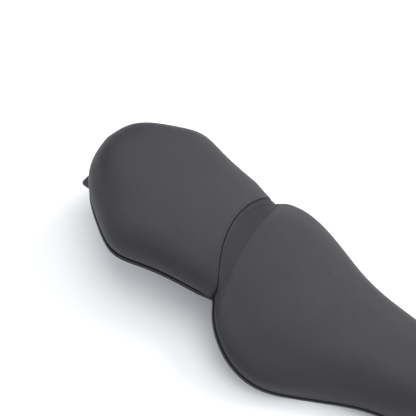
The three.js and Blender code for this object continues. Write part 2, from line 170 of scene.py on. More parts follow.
# %% [markdown]
# ## Materials
# A material's pattern is arithmetic on positions. The class below wraps one output socket and
# gives it the usual operators, so a pattern reads as a formula and each operation adds its own
# Math node. Every pattern here reads Object coordinates, so it stays fixed on the piece.


# %% Shader helper
class Value:
    """One socket of a material's node tree, with arithmetic that adds Math nodes."""

    def __init__(self, maker, socket):
        self.maker, self.socket = maker, socket

    def math(self, operation, *others):
        return self.maker.add("ShaderNodeMath", {"operation": operation}, [self, *others])

    def __add__(self, other):
        return self.math("ADD", other)

    def __sub__(self, other):
        return self.math("SUBTRACT", other)

    def __rsub__(self, other):
        return self.maker.add("ShaderNodeMath", {"operation": "SUBTRACT"}, [other, self])

    def __mul__(self, other):
        return self.math("MULTIPLY", other)

    __radd__, __rmul__ = __add__, __mul__

    def between(self, low, high):
        """0 below low and 1 above high, eased."""
        inputs = {"Value": self, "From Min": low, "From Max": high}
        return self.maker.add("ShaderNodeMapRange", {"interpolation_type": "SMOOTHSTEP"}, inputs)


class Maker:
    """Builds one material: its surface shader, and any node by type, settings and inputs."""

    def __init__(self, name, **constants):
        self.material = bpy.data.materials.new(name)
        self.material.use_nodes = True
        self.tree = self.material.node_tree
        self.shader = self.tree.nodes["Principled BSDF"]
        for key, value in constants.items():
            self.shader.inputs[key.replace("_", " ")].default_value = value
        self.place = self.add("ShaderNodeTexCoord", {}, {}, "Object")

    def add(self, kind, settings, inputs, output=0):
        node = self.tree.nodes.new(kind)
        for key, value in settings.items():
            setattr(node, key, value)
        for key, value in inputs.items() if isinstance(inputs, dict) else enumerate(inputs):
            self.put(node.inputs[key], value)
        return Value(self, node.outputs[output])

    def put(self, socket, value):
        if isinstance(value, Value):
            self.tree.links.new(value.socket, socket)
        else:
            socket.default_value = value

    def noise(self, scale, detail=3, roughness=0.55):
        inputs = {"Vector": self.place, "Scale": scale, "Detail": detail, "Roughness": roughness}
        return self.add("ShaderNodeTexNoise", {}, inputs)

    def cells(self, scale, feature="F1"):
        inputs = {"Vector": self.place, "Scale": scale}
        return self.add("ShaderNodeTexVoronoi", {"feature": feature}, inputs)

    def mix(self, factor, a, b):
        """Mixes two colours; inputs 6 and 7 and output 2 of the node are its colour sockets."""
        a, b = [(*color, 1) if isinstance(color, tuple) else color for color in (a, b)]
        return self.add("ShaderNodeMix", {"data_type": "RGBA"}, {0: factor, 6: a, 7: b}, 2)

    def finish(self, color, roughness, height=None, depth=0.0002, strength=1.0, metallic=None):
        """Links what varies to the shader; height is a relief that is depth metres deep."""
        self.put(self.shader.inputs["Base Color"], color)
        self.put(self.shader.inputs["Roughness"], roughness)
        if metallic is not None:
            self.put(self.shader.inputs["Metallic"], metallic)
        if height is not None:
            inputs = {"Strength": strength, "Distance": depth, "Height": height}
            self.put(self.shader.inputs["Normal"], self.add("ShaderNodeBump", {}, inputs))
        return self.material


# %% [markdown]
# ### The vinyl
# Seat vinyl has a pressed leather grain. Along each shoulder the colour is painted paler, partly as worn,
# stretched vinyl and partly as a painted highlight where the surface turns down. Along the foot of the
# rider seat's ramp it is painted darker: painted crease shade, strongest on the left side. Two attributes
# that the cover's mesh carries say where. A picture of leather would repeat and need a UV map, and cell
# noise on positions does neither.

# %% Vinyl
def vinyl():
    """Matte charcoal vinyl: pebbled grain, soft unevenness, paler shoulders (stretch wear and a painted
    highlight) and painted crease shade.
    """
    m = Maker("charcoal_vinyl", Sheen_Weight=0.04, Sheen_Roughness=0.4, Specular_IOR_Level=0.36)
    grain = m.cells(620, "DISTANCE_TO_EDGE").between(0.0, 0.22)
    pores = m.noise(1900, 2)
    cloud = m.noise(9, 4)
    mottle = m.noise(70, 3)
    stretch_and_highlight = m.add("ShaderNodeAttribute", {"attribute_name": "stretch_and_highlight"}, {}, "Fac")
    painted_crease_shade = m.add("ShaderNodeAttribute", {"attribute_name": "painted_crease_shade"}, {}, "Fac")
    tone = 0.55 * cloud + 0.25 * mottle + 0.2 * pores
    color = m.mix(tone.between(0.3, 0.7), (0.0155, 0.0134, 0.0176), (0.0222, 0.0196, 0.0247))
    # Paler shoulders: partly worn, stretched vinyl, partly a painted highlight where the shoulder turns
    # down.
    color = m.mix(stretch_and_highlight * 0.45, color, (0.033, 0.0298, 0.036))
    color = m.mix((1 - grain) * 0.35, color, (0.010, 0.0092, 0.011))
    # Painted crease shade: darker along the foot of the rider seat's ramp, most on the left side.
    color = m.mix(painted_crease_shade * 0.8, color, (0.005, 0.0046, 0.0054))
    roughness = 0.52 + 0.12 * mottle + 0.08 * (1 - grain) - 0.05 * stretch_and_highlight
    return m.finish(color, roughness, grain * 0.7 + pores * 0.3, 0.00016, 0.6)


# %% [markdown]
# ### Foam, plastic and rubber
# The foam's skin shows burst bubbles of two sizes. The pan's tool was spark-eroded, which leaves
# a fine even tooth on the plastic. Old rubber grows a dusty bloom in patches.

# %% Foam, plastic and rubber
def foam_skin():
    """Moulded polyurethane foam: open pores of two sizes in a mid grey skin."""
    m = Maker("seat_foam", Specular_IOR_Level=0.3)
    pores = m.cells(900).between(0.1, 0.55)
    large = m.cells(210).between(0.05, 0.3)
    cloud = m.noise(30, 4)
    color = m.mix(pores * large, (0.055, 0.056, 0.06), (0.12, 0.122, 0.128))
    color = m.mix(cloud * 0.3, color, (0.15, 0.145, 0.13))
    return m.finish(color, 0.9 + 0.1 * pores, pores * 0.5 + large * 0.5, 0.0006)


def moulded_black():
    """Black polypropylene: spark-eroded texture, faint flow clouds and dull scuffs."""
    m = Maker("pan_plastic", Specular_IOR_Level=0.3)
    spark = m.noise(1500, 3, 0.7)
    flow = m.noise(14, 5)
    scuffs = m.noise(160, 6, 0.75).between(0.58, 0.75)
    color = m.mix(flow, (0.006, 0.0062, 0.007), (0.012, 0.0122, 0.0135))
    color = m.mix(scuffs * 0.4, color, (0.045, 0.046, 0.048))
    return m.finish(color, 0.54 + 0.12 * flow + 0.15 * scuffs, spark, 0.00018, 0.7)


def black_rubber():
    """Moulded rubber: matte black with a dusty bloom in patches and a fine tooth."""
    m = Maker("buffer_rubber", Specular_IOR_Level=0.35)
    tooth = m.noise(1300, 3, 0.7)
    bloom = m.noise(90, 5, 0.65).between(0.45, 0.75)
    color = m.mix(bloom, (0.012, 0.012, 0.013), (0.034, 0.033, 0.032))
    return m.finish(color, 0.72 + 0.16 * bloom, tooth, 0.0002, 0.6)


# %% [markdown]
# ### Zinc and black steel
# Plated parts are metal all over, with a straw tint in clouds. Coated parts are metal only where
# the coat has rubbed through, so there the metallic value follows the same mask as the colour.

# %% Zinc and black steel
def zinc_plate():
    """Zinc plating: bright grey with a faint straw tint, cloudy roughness and fine pits."""
    m = Maker("zinc_steel")
    cloud = m.noise(120, 5, 0.6)
    spangle = m.cells(700).between(0.1, 0.7)
    pits = m.noise(2200, 2, 0.6)
    color = m.mix(cloud.between(0.35, 0.7), (0.52, 0.53, 0.53), (0.60, 0.57, 0.47))
    color = m.mix(spangle * 0.25, color, (0.40, 0.42, 0.44))
    return m.finish(color, 0.26 + 0.2 * cloud + 0.06 * spangle, pits, 0.00006, 0.6, metallic=1.0)


def coated_steel():
    """Black electro-coat on sheet steel: orange peel, and scuffs that show dull metal."""
    m = Maker("black_steel", Specular_IOR_Level=0.5)
    peel = m.noise(420, 2, 0.4)
    rub = m.noise(240, 6, 0.75).between(0.62, 0.72)
    cloud = m.noise(40, 3)
    color = m.mix(cloud, (0.012, 0.012, 0.013), (0.022, 0.022, 0.024))
    color = m.mix(rub * 0.6, color, (0.16, 0.155, 0.15))
    return m.finish(color, 0.34 + 0.1 * cloud + 0.15 * rub, peel, 0.00025, 0.5, metallic=rub * 0.7)


# %% [markdown]
# ### One finish for each slot
# Every piece belongs to one of six material slots. The frame's own nodes get their finish first,
# and the finer pieces below get theirs when they are mounted on a body.

# %% Finishes
FINISHES = {
    "cover_vinyl": vinyl(), "seat_foam": foam_skin(), "pan_plastic": moulded_black(),
    "buffer_rubber": black_rubber(), "zinc_steel": zinc_plate(), "black_steel": coated_steel(),
}
for row in frame["record"]["subparts"]:
    node = frame["nodes"][row["node"]]
    node.data.materials.clear()
    node.data.materials.append(FINISHES[row["material_slot"]])
print("finishes:", ", ".join(FINISHES))

BODIES = frame["record"]["behaviour"]["bodies"]
STEEL_ENDINGS = ("bracket", "plate", "tongue", "tongue_left", "tongue_right")


def mount_piece(piece, body, slot, nodes):
    """Gives a finished piece its finish and its body, and hides the CAD nodes that it stands for."""
    piece.data.materials.append(FINISHES[slot])
    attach(piece, body)
    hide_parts(*nodes)
    return piece


# %% [markdown]
# ## The two outlines
# Seen from above each seat is half an outline and its mirror. A B-spline through a few control
# points gives the half outline, from the parting line's corner to the centreline. A piece that
# lies inside the cover, such as the foam or the pan, uses the same outline moved inwards along
# its normals. From it come two functions: the half width at any x, and, round the far end, the
# distance from a middle point at any angle.

# %% Outlines
PILLION_SIDE = np.array([
    [-26, 120], [-75, 124], [-125, 132], [-168, 146],
    [-198, 142], [-240, 112], [-278, 83], [-304, 48], [-310, 0],
]) * MM
RIDER_SIDE = np.array([
    [6, 120], [22, 150], [62, 176], [105, 184], [150, 178], [200, 154],
    [250, 128], [310, 106], [370, 94], [425, 84], [450, 45], [452, 0],
]) * MM


def seam_x(y):
    """The parting line: a parabola, furthest back on the centreline and 0 at the seat's sides."""
    return -SEAM_SWEEP * (1 - (y / SEAM_HALF) ** 2)


class Outline:
    """A seat's plan outline moved inwards by `inset`: half widths, and distances round its far end."""

    def __init__(self, side, turn_x, inset=0.0):
        self.turn_x = turn_x
        self.forward = 1 if side[-1, 0] > 0 else -1
        curve = bspline(side)
        corner = [[-self.forward * 3 * MM, SEAM_HALF], [0, SEAM_HALF]]
        curve = np.concatenate([corner, curve[2:]])
        along = np.gradient(curve, axis=0)
        along[-1] = [0, -1]
        normal = np.stack([along[:, 1], -along[:, 0]], 1) * self.forward
        normal /= np.linalg.norm(normal, axis=1)[:, None]
        self.curve = curve + normal * inset
        self.curve[-1, 1] = 0

    def width(self, x):
        """Half width at x, between the parting line and the far end."""
        order = np.argsort(self.curve[:, 0])
        return np.interp(x, self.curve[order, 0], self.curve[order, 1])

    def reach(self, angle):
        """Distance from the turning point to the outline; angle 0 is sideways, a right angle the tip."""
        dx, dy = (self.curve[:, 0] - self.turn_x) * self.forward, self.curve[:, 1]
        angles, radii = np.arctan2(dx, dy), np.hypot(dx, dy)
        order = np.argsort(angles)
        return np.interp(angle, angles[order], radii[order])


PILLION_TURN = -176 * MM  # the pillion seat's widest point, where its rounded back begins
RIDER_TURN = 385 * MM  # where the rider seat's nose begins
print("half outlines of", len(PILLION_SIDE), "and", len(RIDER_SIDE), "control points")

# %% [markdown]
# ## Heights
# The pillion seat's top falls steadily forwards. The rider seat's top is a dish, and next to the
# parting line a short ramp climbs to the pillion seat's height: a soft valley, the crease, lies
# at the ramp's foot. The lower edges are a level line on the pillion seat, and on the rider seat
# a curve that sweeps down over the tank rails and rises under the nose.

# %% Heights
RIDER_DISH = np.array([
    [-45, 36], [-5, 31], [50, 14], [100, 0], [150, -8], [200, -9], [260, -6], [330, -2], [460, 2],
]) * MM
DROP, DROP_RUN = 84 * MM, 260 * MM  # how far the rider seat's lower edge falls, and over what length
NOSE_RISE = 22 * MM  # how far it rises again under the nose
PILLION_HIGH, PILLION_SLOPE = 52 * MM, 54 / 320  # its top's height at the corners, and its fall forwards
PILLION_HALF, RIDER_HALF = 140 * MM, 160 * MM  # the crown is measured at these half widths
RAMP_MIDDLE, RAMP_SIDE = 38 * MM, 14 * MM  # the ramp's length on the centreline and at the sides
VALLEY_MIDDLE, VALLEY_SIDE = 3.4 * MM, 2.2 * MM  # how widely its foot is rounded


def pillion_base(x):
    """The pillion cover's lower edge is level."""
    return np.zeros_like(x)


def rider_base(x):
    """A quarter sine wave down over DROP_RUN, then an eased rise under the nose."""
    fall = np.sin(math.pi / 2 * np.clip(x / DROP_RUN, 0, 1))
    return NOSE_RISE * ease(x, 240 * MM, 350 * MM) - DROP * fall


def pillion_top(x, y):
    """A plane that falls forwards, crowned across by a parabola."""
    return PILLION_HIGH - PILLION_SLOPE * x - CROWN * (y / PILLION_HALF) ** 2


def ramp_run(y):
    """The ramp's length, shorter towards the sides, by the square of the share of the way out."""
    return RAMP_MIDDLE + (RAMP_SIDE - RAMP_MIDDLE) * (y / SEAM_HALF) ** 2


def rider_top(x, y):
    """The dish, and next to the parting line the ramp that rises to the pillion seat's height."""
    yc = np.minimum(np.abs(y), SEAM_HALF)
    seam, run = seam_x(yc), ramp_run(yc)
    dish = curve_height(RIDER_DISH, x) - CROWN * (y / RIDER_HALF) ** 2
    crest = pillion_top(seam, yc)
    foot = curve_height(RIDER_DISH, seam + run) - CROWN * (yc / RIDER_HALF) ** 2
    ramp = crest - (crest - foot) * (x - seam) / run
    return smooth_max(dish, ramp, VALLEY_MIDDLE + (VALLEY_SIDE - VALLEY_MIDDLE) * yc / SEAM_HALF)


# "shoulder" and "rise" are the powers of each seat's shoulder, and its side walls bulge by "flare".
SEATS = {
    "pillion": {"side": PILLION_SIDE, "turn": PILLION_TURN, "base": pillion_base, "top": pillion_top,
                "shoulder": 8.0, "rise": 2.8, "flare": 7 * MM},
    "rider": {"side": RIDER_SIDE, "turn": RIDER_TURN, "base": rider_base, "top": rider_top,
              "shoulder": 3.9, "rise": 2.3, "flare": 0.0},
}
print("the rider seat's dish goes down to", RIDER_DISH[:, 1].min(), "from the pillion's lower edge")

# %% [markdown]
# ## The cushion's surface
# One parameter runs along a U: from the parting line down one side, round the far end, and back
# up the other side. The other runs from the centreline out to the side, and then down the side
# wall. The share of the way out, to a power, says how much of the height is left: this
# superellipse gives a broad flat top with a round shoulder. At the parting line the top turns
# down over a small radius into an upright wall.

# %% Rows, corners and shoulders
SHOULDER, SHOULDER_Z = 5.2, 2.4  # powers of the superellipse at the parting line, outwards and upwards
BLEND = 48 * MM  # each seat has its own powers this far from the parting line
TURN_DOWN = 2.6 * MM  # radius of the edge along the parting line
CORNER = 9 * MM  # plan radius of the corners at the ends of the parting line
SEAM_AIR = 0.35 * MM  # each cushion stays this far from the parting line
SIDE_STEPS, WALL_STEPS = 46, 4  # columns over the top and down the side wall
SEAM_STEPS, SEAM_WALL, END_STEPS = 7, 5, 56  # rows round the seam's edge, down its wall, round the end
CROWDING = 2.1  # above 1 it spreads the top's columns, which the powers crowd towards the side
FINE_RUN, MIDDLING_RUN = 16, 50  # rows are 1 mm apart up to the first distance, 2 mm up to the second


def u_path(outline, step):
    """Rows along the straight part of the U: how far down the seam wall, how far round the edge, and
    the share of the way to the far end, in fine steps near the parting line and coarse ones beyond."""
    length = abs(outline.turn_x)
    fine, middling = np.arange(0, FINE_RUN, 1) * MM, np.arange(FINE_RUN, MIDDLING_RUN, 2) * MM
    run = MIDDLING_RUN * MM
    rest = np.linspace(run, length, int((length - run) / step) + 1)
    rise = np.concatenate([fine, middling, rest]) / length
    wall = np.linspace(1, 0, SEAM_WALL + 1)[:-1]
    turn = np.linspace(0, 1, SEAM_STEPS + 1)[:-1]
    down = np.concatenate([wall, np.zeros(SEAM_STEPS + len(rise))])
    roll = np.concatenate([np.zeros(SEAM_WALL), turn, np.ones(len(rise))])
    back = np.concatenate([np.zeros(SEAM_WALL + SEAM_STEPS), rise])
    return down, roll, back


def corner_cut(distance):
    """How much a rounded plan corner takes off the width at some distance from the parting line."""
    near = (CORNER - distance).clip(0)
    return CORNER - np.sqrt(CORNER**2 - near**2)


def shoulders(seat, distance):
    """Shares of the way out and of the height left, one row for each distance from the parting line.

    Both are powers of a sine and a cosine, so that share^p + left^q = 1; the powers are the same on
    both seats at the parting line, and each seat's own beyond it."""
    own = ease(distance, 0, BLEND)[:, None]
    p = SHOULDER + (seat["shoulder"] - SHOULDER) * own
    q = SHOULDER_Z + (seat["rise"] - SHOULDER_Z) * own
    phi = np.linspace(0, 1, SIDE_STEPS + 1)[None, :] ** CROWDING * math.pi / 2
    wall = np.zeros((len(distance), WALL_STEPS))
    share = np.concatenate([np.sin(phi) ** (2 / p), wall + 1], 1)
    left = np.concatenate([np.cos(phi).clip(0) ** (2 / q), wall], 1)
    return share, left


# %% From rows and shares to points
def pushed_out(x, y, turn_x, swell):
    """Moves plan points outwards by `swell`: sideways, and radially beyond the turning point."""
    from_x = np.where(np.abs(x) > abs(turn_x), x - turn_x, 0)
    outward = swell / np.hypot(from_x, y).clip(20 * MM)
    return x + from_x * outward, y + y * outward


def cushion(seat, inset, drop, length_step=4.5 * MM):
    """The outer surface of a cushion as an array of points: rows along the U, columns out and down.

    `inset` moves the outline inwards and `drop` lowers the top, for what lies under the cover. The
    wall swells between its lower edge and its shoulder by a power of the sine of its height."""
    outline = Outline(seat["side"], seat["turn"], inset)
    ahead = outline.forward
    down, roll, back = u_path(outline, length_step)
    share, left = shoulders(seat, back * abs(outline.turn_x))
    seam = seam_x(SEAM_HALF * share) + ahead * (SEAM_AIR + inset)
    turned = math.pi / 2 * roll[:, None]
    start = seam + ahead * TURN_DOWN * (1 - np.cos(turned))
    x = start + back[:, None] * (outline.turn_x - start)
    y = (outline.width(x) - corner_cut(np.abs(x - seam)) * share**6) * share
    fall = TURN_DOWN * (1 - np.sin(turned)) * np.ones_like(x)
    flare = seat["flare"] * ease(back * abs(outline.turn_x), 0, BLEND)[:, None]

    angle = np.linspace(0, math.pi, END_STEPS + 1)[1:-1]
    end_share, end_left = shoulders(seat, 0 * angle + BLEND)
    radius = outline.reach(np.where(angle > math.pi / 2, math.pi - angle, angle))[:, None] * end_share
    x_end = outline.turn_x + ahead * radius * np.sin(angle)[:, None]
    y_end = radius * np.cos(angle)[:, None]

    def both(straight, end, sign=1):
        return np.concatenate([straight, end, sign * straight[::-1]])

    xs, ys = both(x, x_end), both(y, y_end, -1)
    shares, lefts = both(share, end_share), both(left, end_left)
    falls, downs = both(fall, 0 * x_end), both(down, 0 * angle)[:, None]
    flares = both(flare, 0 * angle[:, None] + seat["flare"])
    sink = np.concatenate([np.zeros(SIDE_STEPS + 1), np.linspace(0, 1, WALL_STEPS + 1)[1:]])
    base = seat["base"](xs)
    full = seat["top"](xs, ys) - drop - base
    height = (full - RIM) * lefts
    soft = 1 - np.exp(-(height.clip(0) / (2 * TURN_DOWN)))
    z = (RIM + height - falls * soft) * (1 - downs) * (1 - sink[None, :])
    swell = flares * np.sin(math.pi * (z / full).clip(0, 1)) ** 0.7 * shares**8
    xs, ys = pushed_out(xs, ys, outline.turn_x, swell)
    return np.stack([xs, ys, base + z], -1) + PLACE


# %% Small relief on the covers
def uneven(points):
    """Moulded foam is never perfectly even: long shallow waves, at most half a millimetre high.

    The factors of x and y are radians per metre, so the waves are 90 to 250 mm long."""
    x, y = points[..., 0], points[..., 1]
    wave = np.sin(31 * x + 11 * np.abs(y)) * np.cos(24 * y + 7 * x) + 0.6 * np.sin(57 * x - 38 * y)
    return 0.3 * MM * wave


def seam_beads(points):
    """Two fine pressed ridges that follow the parting line: bell curves of the distance from it."""
    x, y = points[..., 0] - PLACE[0], points[..., 1]
    distance = np.abs(x - seam_x(y * SEAM_HALF / (SEAM_HALF - CORNER)))
    bell = np.exp(-(((distance - BEAD_AWAY) / BEAD_WIDE) ** 2))
    return BEAD_HIGH * bell * (1 - ease(np.abs(y), 0.9 * SEAM_HALF, 0.99 * SEAM_HALF))


# %% [markdown]
# ## The covers
# The cover is a closed thin shell: an outer surface, an inner surface set in by the vinyl's
# thickness, and a folded hem that joins them along the whole lower edge. The hem is a bead, a
# little thicker than the vinyl, as a turned and sewn edge is.

# %% A closed shell
HEM_STEPS, HEM_BULGE = 6, 0.9 * MM
BEAD_AWAY, BEAD_WIDE, BEAD_HIGH = 5.5 * MM, 1.5 * MM, 0.6 * MM
CREASE_SHADE_WIDE = 2 * MM


def border(grid):
    """The open edge of a U surface: up its first row, along its last column, down its last row."""
    return np.concatenate([grid[0, :-1], grid[:, -1], grid[-1, :-1][::-1]])


def shell(outer, inner):
    """A closed shell from two surfaces of the same shape, joined round their edge by a round bead."""
    rows, columns = outer.shape[:2]
    a, b = border(outer), border(inner)
    t = np.linspace(0, math.pi, HEM_STEPS + 1)[:, None, None]
    wide = (a - b) / 2 * (1 + HEM_BULGE / SKIN * np.sin(t) ** 2)
    bead = (a + b) / 2 + wide * np.cos(t) - np.array([0, 0, 1]) * (SKIN / 2 + HEM_BULGE / 2) * np.sin(t)
    points = np.concatenate([outer.reshape(-1, 3), inner.reshape(-1, 3), bead.reshape(-1, 3)])
    size = rows * columns
    faces = [grid_faces(rows, columns), grid_faces(rows, columns, size)[:, ::-1]]
    faces.append(grid_faces(HEM_STEPS + 1, len(a), 2 * size)[:, ::-1])
    return points, np.concatenate(faces)


# %% Paler shoulders (stretch wear and painted highlight) and painted crease shade
def stretch_and_highlight_of(seat, points):
    """Paler shoulder band, partly stretched vinyl and partly a painted highlight: most on the shoulder,
    where the surface turns down.
    """
    x, y, z = (points - PLACE).T
    across = np.abs(y) / Outline(seat["side"], seat["turn"]).width(x).clip(0.02)
    return ease(across, 0.62, 0.86) * (1 - ease(across, 0.9, 1.0))


def painted_crease_shade_of(name, points):
    """Painted crease shade: 1 along the foot of the rider seat's ramp, where the vinyl folds, most on the
    left side.
    """
    x, y, z = (points - PLACE).T
    yc = np.minimum(np.abs(y), SEAM_HALF)
    along = (x - seam_x(yc) - ramp_run(yc)) / CREASE_SHADE_WIDE
    left_side = 0.25 + 0.75 * ease(y, -0.5 * SEAM_HALF, 0.1 * SEAM_HALF)
    return np.exp(-(along**2)) * (name == "rider") * left_side


# %% Both covers
def make_cover(name):
    """Outer and inner surface of one seat's cover, closed by its hem."""
    seat = SEATS[name]
    outer, inner = cushion(seat, 0, 0), cushion(seat, SKIN, SKIN)
    upward = ease(outer[..., 2] - inner[..., 2], 0, SKIN)
    outer[..., 2] += (uneven(outer) + seam_beads(outer)) * upward
    points, faces = shell(outer, inner)
    looks = {"stretch_and_highlight": stretch_and_highlight_of(seat, points), "painted_crease_shade": painted_crease_shade_of(name, points)}
    piece = make_piece(f"{name}_cover_skin", points, faces, attributes=looks)
    mount_piece(piece, f"{name}_seat", "cover_vinyl", [f"{name}_cover"])
    return piece


covers = [make_cover(name) for name in SEATS]

# %% [markdown]
# ## The foam
# Under each cover lies the moulded foam block. It could be one rounded box, but the cover is drawn
# tight over it, so it has the cover's inner shape, a little smaller. Its lower face follows the
# pan's plate, half a millimetre above it.

# %% Foam
FOAM_INSET, FOAM_FLOOR = 2.6 * MM, 6.2 * MM


def make_foam(name):
    """The room inside the cover, closed below just over the pan's plate."""
    seat = SEATS[name]
    top = cushion(seat, FOAM_INSET, FOAM_INSET, length_step=8 * MM)
    level = seat["base"](top[..., 0] - PLACE[0]) + FOAM_FLOOR + PLACE[2]
    top[..., 2] = np.maximum(top[..., 2], level)
    floor = top.copy()
    floor[..., 2] = level
    rows, columns = top.shape[:2]
    points = np.concatenate([top.reshape(-1, 3), floor.reshape(-1, 3)])
    faces = np.concatenate([grid_faces(rows, columns), grid_faces(rows, columns, rows * columns)[:, ::-1]])
    piece = make_piece(f"{name}_foam_block", points, faces)
    mount_piece(piece, f"{name}_seat", "seat_foam", [f"{name}_foam"])
    return piece


foams = [make_foam(name) for name in SEATS]

# %% [markdown]
# ## The pans
# Each pan is an injection moulding: a plate that follows the cushion's lower edge, a skirt round
# it with a rounded lip, a lattice of ribs below, round pads for the rubber buffers and bosses for
# the screws. The plate and skirt are one profile carried round the outline; a rib is a thin
# tapered section carried along a line. Where a steel part or a buffer crosses them, their lower
# edges are raised over it, as a tool maker would notch them.

# %% Pan dimensions
PAN_AIR, WALL = 2.3 * MM, 3 * MM  # the skirt stands this far inside the cover, and its thickness
PLATE_LOW, PLATE_HIGH, SKIRT_LOW = 2.7 * MM, 5.7 * MM, -11 * MM
FLANGE, FLANGE_TOP = -2.0 * MM, -2.4 * MM  # the rim steps out past the outline, this far below it
RIB_LOW, RIB_WIDE, RIB_PITCH = -7 * MM, 2.2 * MM, 37 * MM
RIB_MARGIN = 12 * MM  # no rib runs closer than this to the outline's furthest points
LAP = 1 * MM  # ribs, pads and bosses reach this far into the plate
NOTCH_ROOM, NOTCH_AIR = 2 * MM, 0.3 * MM  # a notch is this much wider and higher than a steel part
PAD_UP, PAD_HOLE, PAD_HALF = 12.1 * MM, 4.3 * MM, 15 * MM  # height over the buffer's sole, and radii
BOSS_UP, BOSS_HOLE, BOSS_HALF = 7.6 * MM, 3.1 * MM, 7 * MM  # height over the screw's face, and radii
LIP, BOSS_EDGE = 0.8 * MM, 0.6 * MM  # the bevels of the skirt's lip and of pads and bosses
LOOP_POINTS, SEAM_POINTS = 420, 61
SPINES = {"pillion": (-210 * MM, -140 * MM), "rider": (45 * MM, 385 * MM)}


# %% Plate and skirt
def plan_loop(seat, inset):
    """The closed plan outline at an inset: one side, round the end, the other side, the parting line."""
    outline = Outline(seat["side"], seat["turn"], inset)
    lead = outline.forward * (SEAM_AIR + inset)
    side = outline.curve[outline.curve[:, 0] * outline.forward > SEAM_AIR + inset]
    distance = np.abs(side[:, 0] - lead)
    side = np.stack([side[:, 0], side[:, 1] - corner_cut(distance)], 1)
    share = np.linspace(-1, 1, SEAM_POINTS)
    seam = np.stack([seam_x(SEAM_HALF * share) + lead, (SEAM_HALF - inset - CORNER) * share], 1)
    return np.concatenate([side, side[::-1][1:] * [1, -1], seam])


def notches(body):
    """Boxes in plan with a level that moulded edges stay above: over steel parts and round buffers."""
    rows = []
    for node in BODIES[body]:
        lo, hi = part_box(node)
        if "buffer" in node:
            room, level = 2 * NOTCH_ROOM, lo.z + PAD_UP
        elif node.endswith(STEEL_ENDINGS):
            room, level = NOTCH_ROOM, hi.z + NOTCH_AIR
        else:
            continue
        rows.append((lo.x - room, hi.x + room, lo.y - room, hi.y + room, level))
    return rows


def raised(points, rows):
    """Lifts every point that lies over a notch to at least the notch's level."""
    for x0, x1, y0, y1, level in rows:
        x, y, z = points[..., 0], points[..., 1], points[..., 2]
        inside = (x > x0) & (x < x1) & (y > y0) & (y < y1)
        points[..., 2] = np.where(inside, np.maximum(z, level), z)
    return points


def pan_plate(name, rows):
    """Plate and skirt as one closed surface: rings from the middle out, round the lip, and back."""
    seat = SEATS[name]
    shares = [0, 0.25, 0.5, 0.7, 0.85, 0.95]
    inner = PAN_AIR + WALL
    profile = [(share, inner, PLATE_LOW) for share in shares] + [
        (1, inner + 1.5 * MM, PLATE_LOW), (1, inner + 0.4 * MM, PLATE_LOW - 0.5 * MM),
        (1, inner, PLATE_LOW - 2 * MM), (1, inner, SKIRT_LOW + LIP), (1, inner - LIP, SKIRT_LOW),
        (1, FLANGE + LIP, SKIRT_LOW), (1, FLANGE, SKIRT_LOW + LIP), (1, FLANGE, FLANGE_TOP - 0.5 * MM),
        (1, FLANGE + 0.5 * MM, FLANGE_TOP), (1, PAN_AIR, FLANGE_TOP), (1, PAN_AIR, PLATE_HIGH - 1 * MM),
        (1, PAN_AIR + 1 * MM, PLATE_HIGH),
    ] + [(share, PAN_AIR, PLATE_HIGH) for share in shares[::-1]]
    rings = []
    for share, inset, above in profile:
        loop = plan_loop(seat, inset)
        travel = np.concatenate([[0], np.cumsum(np.linalg.norm(np.diff(loop, axis=0), axis=1))])
        even = np.linspace(0, travel[-1], LOOP_POINTS, endpoint=False)
        x, y = np.interp(even, travel, loop[:, 0]), np.interp(even, travel, loop[:, 1])
        middle_x = np.clip(x, *SPINES[name])
        x, y = middle_x + share * (x - middle_x), share * y
        rings.append(np.stack([x, y, seat["base"](x) + above], -1) + PLACE)
    points = raised(np.stack(rings), rows)
    return points.reshape(-1, 3), grid_faces(len(rings), LOOP_POINTS, wrap=True)


# %% Ribs
def bar(path, low_z, high_z, wide):
    """A thin tapered wall along a plan path: four edges carried along it, and two end faces."""
    along = np.gradient(path, axis=0)
    across = np.stack([-along[:, 1], along[:, 0]], 1) / np.linalg.norm(along, axis=1)[:, None]
    edges = [(-0.5, high_z), (-0.32, low_z), (0.32, low_z), (0.5, high_z)]
    rows = [np.column_stack([path + across * wide * k, z]) for k, z in edges]
    points = np.stack(rows, 1).reshape(-1, 3)
    last = 4 * (len(path) - 1)
    ends = np.array([[3, 2, 1, 0], [last, last + 1, last + 2, last + 3]])
    return points, np.concatenate([grid_faces(len(path), 4, wrap=True), ends])


def rib_paths(name):
    """Plan lines of the lattice, across and along, each from skirt to skirt."""
    seat = SEATS[name]
    outline = Outline(seat["side"], seat["turn"], PAN_AIR + WALL / 2)
    tip, ahead = outline.curve[-1, 0], outline.forward
    first = 8 * MM if ahead > 0 else -SEAM_SWEEP - RIB_MARGIN
    paths = []
    for x in np.arange(first, tip - ahead * RIB_MARGIN, ahead * RIB_PITCH):
        w = outline.width(x)
        y = np.linspace(-w, w, 90)
        paths.append(np.stack([np.full_like(y, x), y], 1))
    widest = outline.curve[:, 1].max()
    lines = np.arange(0, widest - RIB_MARGIN, RIB_PITCH)
    for y in np.unique(np.concatenate([lines, -lines])):
        x = np.linspace(seam_x(min(abs(y), SEAM_HALF)) + ahead * 4 * MM, tip, 400)
        x = x[outline.width(x) > abs(y)]
        paths.append(np.stack([x, np.full_like(x, y)], 1))
    return paths


# %% Pads, bosses and the whole pan
def turned(profile, x, y, steps=40):
    """A ring-shaped solid: a closed profile of radius and height turned about an upright axis."""
    angle = np.linspace(0, 2 * math.pi, steps, endpoint=False)[:, None]
    r, z = np.array(profile, float).T
    points = np.stack([x + r * np.cos(angle), y + r * np.sin(angle), z + 0 * angle], -1)
    rows = np.concatenate([points, points[:1]])
    return rows.reshape(-1, 3), grid_faces(steps + 1, len(r), wrap=True)


def upright_axis(node):
    """Where a turned node stands: its axis in plan, and its lowest point."""
    lo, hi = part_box(node)
    return (lo.x + hi.x) / 2, (lo.y + hi.y) / 2, lo.z


